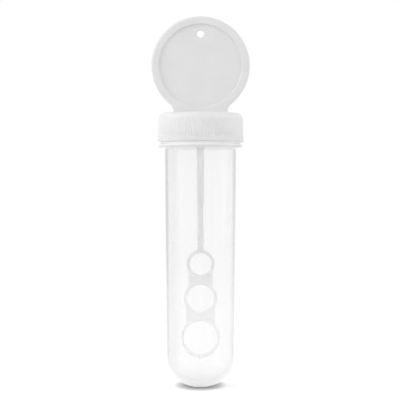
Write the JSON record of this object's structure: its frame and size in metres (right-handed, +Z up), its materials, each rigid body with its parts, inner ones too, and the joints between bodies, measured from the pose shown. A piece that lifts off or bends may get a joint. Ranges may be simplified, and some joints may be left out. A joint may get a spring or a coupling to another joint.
{
  "type": "bubble wand",
  "caption": "See-through round-bottomed bubble tube with a ribbed screw cap, a round disc standing on the cap, and a ringed wand that hangs from the cap into the tube.",
  "frame": {"origin": "middle of the small flat that the tube stands on", "axes": "+Z up along the tube towards the cap; the disc's face looks along -Y and the wand's rings lie in the XZ plane"},
  "size_m": [0.0372, 0.0326, 0.1398],
  "materials": {
    "tube_plastic": "glossy, slightly milky, see-through",
    "cap_plastic": "satin white moulding with fine ribs",
    "disc_plastic": "satin white moulding",
    "wand_plastic": "satin white moulding",
    "liner_foam": "matt foamed sheet"
  },
  "bodies": {
    "bottle": {"tube": "tube_plastic"},
    "seal": {"sealing_liner": "liner_foam"},
    "lid": {"screw_cap": "cap_plastic", "top_disc": "disc_plastic", "ring_wand": "wand_plastic"}
  },
  "joints": [
    {"name": "cap_lift", "type": "slide", "parent": "bottle", "child": "seal", "axis": [0, 0, 1], "range_m": [0, 0.0924]},
    {"name": "cap_turn", "type": "hinge", "parent": "seal", "child": "lid", "pos_m": [0, 0, 0.1], "axis": [0, 0, 1], "range_deg": [0, 7920]}
  ],
  "couplings": [
    {"joint": "cap_lift", "follows": "cap_turn", "m_per_rad": 0.00066845}
  ]
}
